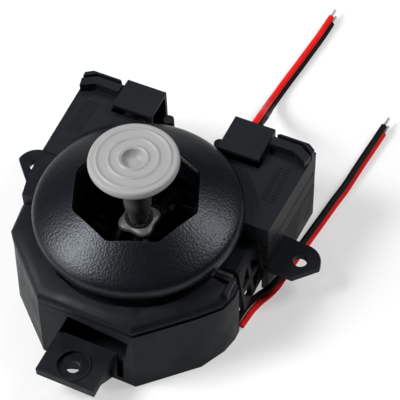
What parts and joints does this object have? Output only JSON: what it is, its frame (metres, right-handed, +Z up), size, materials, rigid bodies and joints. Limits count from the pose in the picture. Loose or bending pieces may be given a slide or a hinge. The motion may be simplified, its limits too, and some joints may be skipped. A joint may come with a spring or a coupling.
{
  "type": "thumbstick module",
  "caption": "Self-centring two-axis thumbstick: a capped post in a domed octagonal gate on a low housing with rear wings, screw ears and cut lead pairs.",
  "frame": {"origin": "on the stick's axis, in the plane of the housing's underside", "axes": "+X to the module's right, where the side leads leave; +Y to the back, where the rear leads leave; +Z up along the stick at rest"},
  "size_m": [0.0662, 0.1123, 0.0363],
  "materials": {
    "housing_black": "moulded, lightly textured",
    "dome_black": "fine leather grain",
    "wing_black": "moulded, rough",
    "cap_grey": "satin",
    "post_grey": "satin",
    "mechanism_black": "moulded",
    "part_black": "moulded",
    "steel": "plated",
    "board_green": "lacquered board",
    "sleeve_red": "soft sleeve",
    "sleeve_black": "soft sleeve",
    "tinned_copper": "tinned strands"
  },
  "bodies": {
    "housing": {"base_cover": "housing_black", "lower_case": "housing_black", "middle_frame": "housing_black", "upper_case": "housing_black", "dome_gate": "dome_black", "wing_cover_right": "wing_black", "wing_cover_left": "wing_black", "wing_frame_right": "wing_black", "wing_frame_left": "wing_black", "hood_right": "wing_black", "hood_left": "wing_black", "side_cover_left": "wing_black", "side_bracket_right": "housing_black", "case_screw_1": "steel", "case_screw_2": "steel", "case_screw_3": "steel", "case_screw_4": "steel", "pivot_frame": "mechanism_black", "spring_cup": "mechanism_black", "return_spring": "steel", "axle_bracket_right": "mechanism_black", "axle_bracket_left": "mechanism_black", "circuit_board": "board_green", "signal_chip": "part_black", "emitter_right": "part_black", "detector_right": "part_black", "emitter_left": "part_black", "detector_left": "part_black", "lead_clip_rear": "sleeve_black", "lead_clip_side": "sleeve_black", "rear_lead_red": "sleeve_red", "rear_lead_red_tip": "tinned_copper", "rear_lead_black": "sleeve_black", "rear_lead_black_tip": "tinned_copper", "side_lead_red": "sleeve_red", "side_lead_red_tip": "tinned_copper", "side_lead_black": "sleeve_black", "side_lead_black_tip": "tinned_copper"},
    "lower_rocker": {"rocker_fore_aft": "mechanism_black", "stick_pin": "steel"},
    "stick": {"stick_post": "post_grey", "thumb_cap": "cap_grey", "stick_collar": "post_grey", "star_ring": "part_black"},
    "upper_rocker": {"rocker_side": "mechanism_black"},
    "right_wheel": {"encoder_wheel_right": "part_black"},
    "left_wheel": {"encoder_wheel_left": "part_black"}
  },
  "joints": [
    {"name": "stick_fore_aft", "type": "hinge", "parent": "housing", "child": "lower_rocker", "pos_m": [0, 0, 0.009], "axis": [1, 0, 0], "range_deg": [-20, 20], "stiffness_Nm_per_rad": 0.05},
    {"name": "stick_side", "type": "hinge", "parent": "lower_rocker", "child": "stick", "pos_m": [0, 0, 0.009], "axis": [0, 1, 0], "range_deg": [-20, 20], "stiffness_Nm_per_rad": 0.05},
    {"name": "upper_rocker_turn", "type": "hinge", "parent": "housing", "child": "upper_rocker", "pos_m": [0, 0, 0.009], "axis": [0, 1, 0], "range_deg": [-20, 20]},
    {"name": "right_wheel_turn", "type": "hinge", "parent": "housing", "child": "right_wheel", "pos_m": [0.0186, 0.01304, 0.01249], "axis": [1, 0, 0], "range_deg": [-80, 80]},
    {"name": "left_wheel_turn", "type": "hinge", "parent": "housing", "child": "left_wheel", "pos_m": [-0.01304, 0.0224, 0.01249], "axis": [0, 1, 0], "range_deg": [-80, 80]}
  ],
  "couplings": [
    {"joint": "right_wheel_turn", "follows": "stick_fore_aft", "ratio": -4},
    {"joint": "upper_rocker_turn", "follows": "stick_side", "ratio": 1},
    {"joint": "left_wheel_turn", "follows": "stick_side", "ratio": -4}
  ]
}
